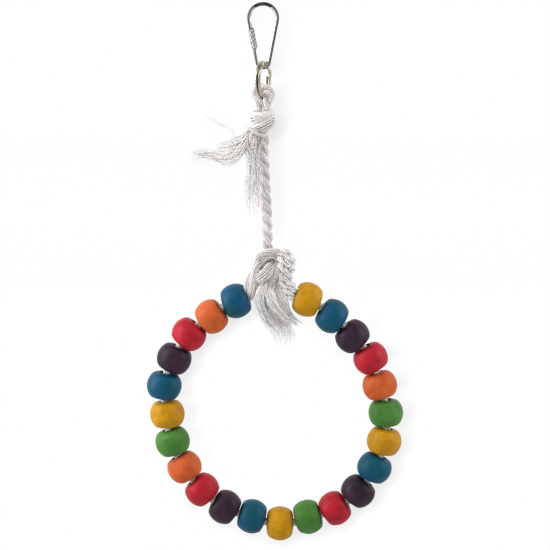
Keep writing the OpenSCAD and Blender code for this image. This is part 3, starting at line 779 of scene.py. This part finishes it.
tail("loose_yarn", [
    [(-13.6, -5.4, -72.6, 0.6), (-15.4, -4.8, -69.4, 0.9), (-18.0, -4.2, -66.6, 1.0),
     (-22.2, -3.4, -64.7, 0.9), (-27.4, -2.8, -61.8, 0.7), (-34.0, -2.4, -57.8, 0.6)]],
    "hanger", ["upper_tail_ply"],
    {"Seed": 41, "Yarns": 2, "Wave": 0.0012, "Yarn Radius": 0.00012, "Shortest": 0.9},
    {"Seed": 42, "Yarns": 8, "Wave": 0.0020, "Yarn Radius": 0.00005})
tail("down_tail", [
    [(-7.6, -5.4, -67.4, 1.6), (-8.4, -6.6, -74.0, 2.6), (-6.4, -7.2, -80.0, 3.7), (-5.6, -7.0, -88.0, 4.6),
     (-5.9, -6.6, -97.0, 6.0), (-5.6, -6.2, -106.0, 6.0), (-4.8, -6.0, -115.0, 4.2)]],
    "hanger", ["upper_tail_down"],
    {"Seed": 51, "Yarns": 20, "Depth": 0.2, "Shortest": 0.72, "Clumps": 9, "Clumping": 0.5,
     "Yarn Radius": 0.00034, "Wave": 0.0026, "Crimp": 0.0},
    {"Seed": 52, "Yarns": 70, "Depth": 0.2, "Shortest": 0.65})

# Lower knot
# The rope's two ends tied round each other to close the loop. Strands arch over the top, smooth bights lie
# across the front and the back, and on the right the rope has come apart into crimped yarns.
KNOT_ROPE = dict(ROPE, **{"Seed": 61, "Lay": -0.030, "Lay Radius": 0.00142})
behind_leg = smooth_line([(11.0, 1.0, -138.6), (7.0, 2.0, -144.0), (2.0, 0.8, -149.0),
                          (-0.4, -2.0, -153.0)], 30)
right_leg = smooth_line([(-3.0, 1.0, -141.0), (3.0, 0.0, -145.0), (9.0, -0.6, -150.0), (13.4, -0.6, -156.0),
                         (16.6, 0.0, -161.0)], 40)
core_leg = smooth_line([(2.2, 0.4, -135.0), (2.9, 1.0, -139.0), (2.2, 1.6, -143.5), (-0.6, 1.2, -148.5)], 30)
grown("lower_knot_rope", [behind_leg, right_leg, core_leg], laid_rope, KNOT_ROPE, "hoop",
      ["lower_knot"])
BUNDLE = dict(BAND, **{"Yarns": 15, "Strand Radius": 0.0020, "Yarn Radius": 0.00042, "Yarn Lay": 0.16,
                       "Flatness": 1.0, "Unevenness": 0.0006, "Seed": 65})
left_legs = [smooth_line(line, 40) for line in (
    [(2.0, 0.5, -138.5), (-2.4, -2.0, -141.6), (-6.0, -3.4, -146.6), (-8.2, -3.6, -151.6),
     (-8.2, -2.6, -156.0), (-8.0, -0.6, -160.6)],
    [(0.0, 0.0, -139.6), (-3.6, -3.4, -142.6), (-5.0, -5.0, -147.6), (-5.6, -5.2, -152.6),
     (-6.4, -3.6, -157.0), (-7.6, -1.0, -160.2)])]
grown("lower_knot_bundle", left_legs, laid_rope, BUNDLE, "hoop")
BIGHT = dict(BAND, **{"Yarns": 14, "Strand Radius": 0.0024, "Yarn Radius": 0.00038, "Yarn Lay": 0.09,
                      "Flatness": 1.0, "Unevenness": 0.00022, "Seed": 71})
bights = [smooth_line(line, 30) for line in (
    [(-2.2, -1.6, -151.0, 0.8), (-2.1, -4.6, -149.6, 1.05), (0.9, -8.8, -146.2, 1.15),
     (3.8, -5.0, -142.9, 1.05), (4.6, 1.0, -142.0, 0.9)],
    [(3.4, -1.5, -152.0, 0.8), (5.2, -5.0, -149.2, 0.8), (7.0, -6.2, -145.4, 0.8),
     (7.6, -4.0, -142.4, 0.8), (7.6, 0.0, -140.6, 0.8)],
    [(8.5, -0.5, -140.5, 0.8), (6.0, 2.4, -143.0, 0.9), (1.5, 3.0, -148.0, 0.95),
     (-2.0, 2.0, -151.5, 0.9), (-2.6, -1.4, -153.4, 0.8)],
    [(-1.6, -0.5, -139.5, 0.8), (-1.4, 3.0, -142.0, 0.95), (2.0, 4.2, -146.0, 1.0),
     (6.5, 3.2, -150.3, 0.95), (9.0, -0.8, -153.0, 0.8)])]
grown("lower_knot_bights", bights, laid_rope, BIGHT, "hoop")
ARCH = dict(BIGHT, **{"Yarns": 9, "Strand Radius": 0.0014, "Yarn Radius": 0.00042, "Yarn Lay": 0.06,
                      "Unevenness": 0.0006, "Seed": 75})
arches = [smooth_line(line, 30) for line in (
    [(-3.6, -0.6, -141.2), (-2.2, -3.6, -137.2), (0.6, -5.2, -134.8), (4.4, -5.8, -133.8),
     (8.2, -5.0, -134.4), (10.8, -2.6, -137.4)],
    [(-0.8, -1.2, -141.8), (0.4, -3.6, -138.4), (2.8, -4.6, -136.8), (6.2, -4.6, -136.6),
     (9.0, -3.2, -139.0)])]
grown("lower_knot_arches", arches, laid_rope, ARCH, "hoop")
CRIMPED = dict(TAIL, **{"Seed": 81, "Yarns": 26, "Wave": 0.0018, "Shortest": 0.96, "Tip": 0.9, "Depth": 0.8,
                        "Clumps": 5, "Clumping": 0.2, "Crimp": 0.0008, "Crimp Length": 0.0046})
crimped_lines = [smooth_line(line, 50) for line in (
    [(7.4, -2.4, -136.4, 1.8), (9.6, -4.6, -135.2, 2.4), (11.0, -5.6, -140.6, 2.5),
     (10.4, -5.8, -148.4, 2.4), (12.8, -5.0, -154.6, 2.4), (16.6, -4.0, -160.4, 2.2)],
    [(9.0, -1.2, -136.2, 1.8), (13.0, -3.4, -135.4, 2.4), (15.2, -4.4, -140.6, 2.4),
     (13.8, -4.6, -148.4, 2.4), (15.4, -4.2, -153.6, 2.4), (17.6, -2.6, -157.6, 2.2)])]
grown("lower_knot_crimped", crimped_lines, frayed_end, CRIMPED, "hoop")

# Tassel
# The frayed end of the lower knot: yarns that fold over to the left, sweep down and to the right inside
# the ring, and end in loose fibres.
tail("lower_tail", [
    [(4.6, -1.4, -150.4, 1.6), (0.4, -5.6, -152.4, 2.6), (-1.6, -6.8, -157.4, 3.0),
     (-1.2, -6.4, -164.6, 3.0), (1.6, -5.4, -171.6, 3.0), (4.8, -5.0, -177.6, 2.8)],
    [(4.6, -3.4, -150.6, 2.0), (3.0, -6.6, -156.8, 3.0), (5.6, -7.0, -163.6, 3.4),
     (10.3, -6.2, -169.8, 3.4), (15.6, -5.0, -174.8, 3.1)],
    [(6.4, -2.6, -149.6, 2.2), (9.4, -4.8, -156.8, 3.0), (11.4, -5.2, -163.6, 2.9),
     (14.0, -4.2, -169.6, 2.8), (20.4, -3.6, -175.2, 2.6)],
    [(3.4, -1.4, -151.0, 1.8), (1.8, -3.4, -158.0, 2.4), (3.2, -3.6, -165.0, 2.8),
     (7.4, -3.2, -171.4, 2.8), (12.0, -3.0, -177.4, 2.6)]],
    "hoop", ["lower_tail"],
    {"Seed": 91, "Yarns": 32, "Depth": 0.5, "Shortest": 0.78, "Wave": 0.0018, "Clumping": 0.4,
     "Yarn Radius": 0.00042},
    {"Seed": 92, "Yarns": 60, "Depth": 0.6, "Shortest": 0.6})
tail("lower_fluff", [
    [(3.0, -5.2, -166.0, 3.0), (7.4, -5.0, -173.0, 5.0), (10.6, -4.6, -179.0, 6.0),
     (12.4, -4.2, -186.5, 4.6)]],
    "hoop", [],
    {"Seed": 95, "Yarns": 8, "Yarn Radius": 0.00016, "Shortest": 0.4, "Wave": 0.004},
    {"Seed": 96, "Yarns": 220, "Shortest": 0.4, "Wave": 0.007, "Yarn Radius": 0.00007})

# Beads
# Turned from pale hardwood nearly to a ball, drilled through, dyed in six colours and tumbled to a satin
# gloss. Painted shade darkens the ends round the hole. Each bead is threaded on the loop and turns freely.
turned_bead, given, result = socketed("turned_bead", "GeometryNodeTree", {
    "Geometry": "Geometry", "Sides": "Int", "Unroundness": "Float", "Grain Tilt": "Vector", "Seed": "Float",
    "Place": "Vector", "Axis": "Vector", "Material": "Material"}, {"Geometry": "Geometry"})
tree = turned_bead
LATHE_R = 0.0005
SEED_SKEW = 0.37
LUMP_RATE = 90.0
lathe = add_node(tree, "GeometryNodeCurvePrimitiveCircle", {
    "Resolution": given["Sides"], "Radius": LATHE_R}).outputs["Curve"]
mesh = add_node(tree, "GeometryNodeCurveToMesh", {
    "Curve": lathe, "Profile Curve": given["Geometry"]}).outputs[0]
place = add_node(tree, "GeometryNodeInputPosition").outputs[0]
grain = add_node(tree, "ShaderNodeVectorRotate", {
    "Vector": place, "Rotation": given["Grain Tilt"]}, rotation_type="EULER_XYZ").outputs[0]
apart = add_node(tree, "ShaderNodeCombineXYZ", {
    0: given["Seed"], 1: maths(tree, "MULTIPLY", given["Seed"], SEED_SKEW), 2: 0.0}).outputs[0]
for name, value in (("grain_place", vectors(tree, "ADD", grain, apart)), ("bead_place", place)):
    mesh = add_node(tree, "GeometryNodeStoreNamedAttribute", {
        "Geometry": mesh, "Name": name, "Value": value}, data_type="FLOAT_VECTOR").outputs[0]
lumps = wobble(tree, scaled(tree, vectors(tree, "ADD", place, apart), LUMP_RATE), given["Unroundness"])
mesh = add_node(tree, "GeometryNodeSetPosition", {"Geometry": mesh, "Offset": lumps}).outputs[0]
turned = add_node(tree, "FunctionNodeAlignRotationToVector", {"Vector": given["Axis"]}, axis="Z").outputs[0]
mesh = add_node(tree, "GeometryNodeTransform", {
    "Geometry": mesh, "Translation": given["Place"], "Rotation": turned}).outputs[0]
mesh = add_node(tree, "GeometryNodeSetShadeSmooth", {"Geometry": mesh}).outputs[0]
mesh = add_node(tree, "GeometryNodeRealizeInstances", {"Geometry": mesh}).outputs[0]
mesh = add_node(tree, "GeometryNodeSetMaterial", {"Geometry": mesh, "Material": given["Material"]}).outputs[0]
tree.links.new(mesh, result["Geometry"])

dyed_grain, given, result = socketed("dyed_grain", "ShaderNodeTree", {
    "Place": "Vector", "Round Place": "Vector", "Dye": "Color", "Second Dye": "Color"},
    {"Color": "Color", "Roughness": "Float", "Height": "Float"})
tree = dyed_grain
STREAK_RATE = (900, 900, 70)
PORE_RATE = (3200, 3200, 260)
BLOTCH_RATE = 130.0
PORE_SHADE = -0.18
# Painted shade: the colour darkens in a band at each end of the bead, round the hole, where the beads meet.
END_BAND = (0.0068, 0.0074)
END_SHADE = 0.8
streaks = add_node(tree, "ShaderNodeTexNoise", {
    "Vector": vectors(tree, "MULTIPLY", given["Place"], STREAK_RATE),
    "Scale": 1.0, "Detail": 4.0}).outputs["Fac"]
blotches = add_node(tree, "ShaderNodeTexNoise", {
    "Vector": given["Place"], "Scale": BLOTCH_RATE, "Detail": 2.0}).outputs["Fac"]
pores = add_node(tree, "ShaderNodeTexNoise", {
    "Vector": vectors(tree, "MULTIPLY", given["Place"], PORE_RATE),
    "Scale": 1.0, "Detail": 1.0}).outputs["Fac"]
pores = ranged(tree, pores, 0.60, 0.72)
dye = add_node(tree, "ShaderNodeMix", {
    "Factor": ranged(tree, blotches, 0.36, 0.64), "A": given["Dye"], "B": given["Second Dye"]},
    data_type="RGBA").outputs["Result"]
depth = maths(tree, "MULTIPLY", ranged(tree, streaks, 0.3, 0.7, 0.9, 1.07),
              maths(tree, "MULTIPLY_ADD", pores, PORE_SHADE, 1.0))
end = add_node(tree, "ShaderNodeSeparateXYZ", {0: given["Round Place"]}).outputs["Z"]
end = ranged(tree, maths(tree, "ABSOLUTE", end), *END_BAND, 1.0, END_SHADE)
tree.links.new(scaled(tree, dye, maths(tree, "MULTIPLY", depth, end)), result["Color"])
dull = maths(tree, "MULTIPLY_ADD", streaks, 0.2, maths(tree, "MULTIPLY_ADD", pores, 0.2, 0.32))
tree.links.new(dull, result["Roughness"])
height = maths(tree, "MULTIPLY_ADD", streaks, 0.4, maths(tree, "MULTIPLY", pores, -0.8))
tree.links.new(height, result["Height"])


def dyed_wood(name, dye, second):
    made, tree = blank_material(name)
    wood = add_node(tree, "ShaderNodeGroup", node_tree=dyed_grain)
    for label, attribute in (("Place", "grain_place"), ("Round Place", "bead_place")):
        mark = add_node(tree, "ShaderNodeAttribute", attribute_name=attribute)
        tree.links.new(mark.outputs["Vector"], wood.inputs[label])
    wood.inputs["Dye"].default_value = dye
    wood.inputs["Second Dye"].default_value = second
    bump = add_node(tree, "ShaderNodeBump", {
        "Height": wood.outputs["Height"], "Strength": 0.3, "Distance": 0.00012})
    surface = add_node(tree, "ShaderNodeBsdfPrincipled", {
        "Base Color": wood.outputs["Color"], "Roughness": wood.outputs["Roughness"],
        "Specular IOR Level": 0.2, "Normal": bump.outputs[0]})
    add_node(tree, "ShaderNodeOutputMaterial", {"Surface": surface.outputs[0]})
    return made


DYES = {"bead_blue": (srgb(4, 78, 117), srgb(4, 79, 90)),
        "bead_orange": (srgb(212, 98, 47), srgb(192, 85, 36)),
        "bead_red": (srgb(188, 29, 48), srgb(166, 25, 40)),
        "bead_purple": (srgb(58, 34, 54), srgb(41, 28, 40)),
        "bead_yellow": (srgb(203, 147, 5), srgb(184, 129, 3)),
        "bead_green": (srgb(77, 132, 55), srgb(65, 115, 45))}
woods = {slot: dyed_wood(slot + "_wood", *pair) for slot, pair in DYES.items()}

BEAD_R = 0.0095
BEAD_HALF = 0.00735
HOLE_R = 0.0034
EDGE = 0.0003
SHOULDER_Z = 0.0059
SHOULDER_PULL = (0.0011, 0.0018)
END_SLOPE = math.tan(math.radians(10))
shoulder = math.asin(SHOULDER_Z / BEAD_R)
half_outline = [(BEAD_R * math.cos(a), BEAD_R * math.sin(a)) for a in np.linspace(0, shoulder, 12)]
start = np.array(half_outline[-1])
end = np.array((HOLE_R + EDGE, BEAD_HALF - EDGE * END_SLOPE))
pulls = (start + np.array((-math.sin(shoulder), math.cos(shoulder))) * SHOULDER_PULL[0],
         end + np.array((1, -END_SLOPE)) * SHOULDER_PULL[1])
half_outline += [tuple(start * (1 - t) ** 3 + 3 * pulls[0] * t * (1 - t) ** 2
                       + 3 * pulls[1] * t * t * (1 - t) + end * t ** 3)
                 for t in np.linspace(0, 1, 14)[1:]]
half_outline += [(HOLE_R + 0.3 * EDGE, BEAD_HALF - 0.2 * EDGE), (HOLE_R, BEAD_HALF - EDGE)]
outline = [(r, -z) for r, z in half_outline] + [(r, z) for r, z in half_outline[:0:-1]]
profile = [(r - LATHE_R, -z, 0) for r, z in outline]
slots = {part["node"]: part["material_slot"] for part in frame["record"]["subparts"]}
LEAST_TILT = (-0.5, -0.5, 0)
MOST_TILT = (0.5, 0.5, 6.28)
draw = np.random.default_rng(23)
for joint in frame["joints"]:
    node = joint["child"]
    if node in slots and slots[node] in woods:
        tilts = draw.uniform(LEAST_TILT, MOST_TILT)
        grown(node + "_turned", [profile], turned_bead, {
            "Sides": 72, "Unroundness": 0.0004, "Grain Tilt": tuple(float(x) for x in tilts),
            "Seed": float(draw.uniform(0, 4)), "Place": tuple(joint["pos_m"]), "Axis": tuple(joint["axis"]),
            "Material": woods[slots[node]]}, node, [node], closed=True)
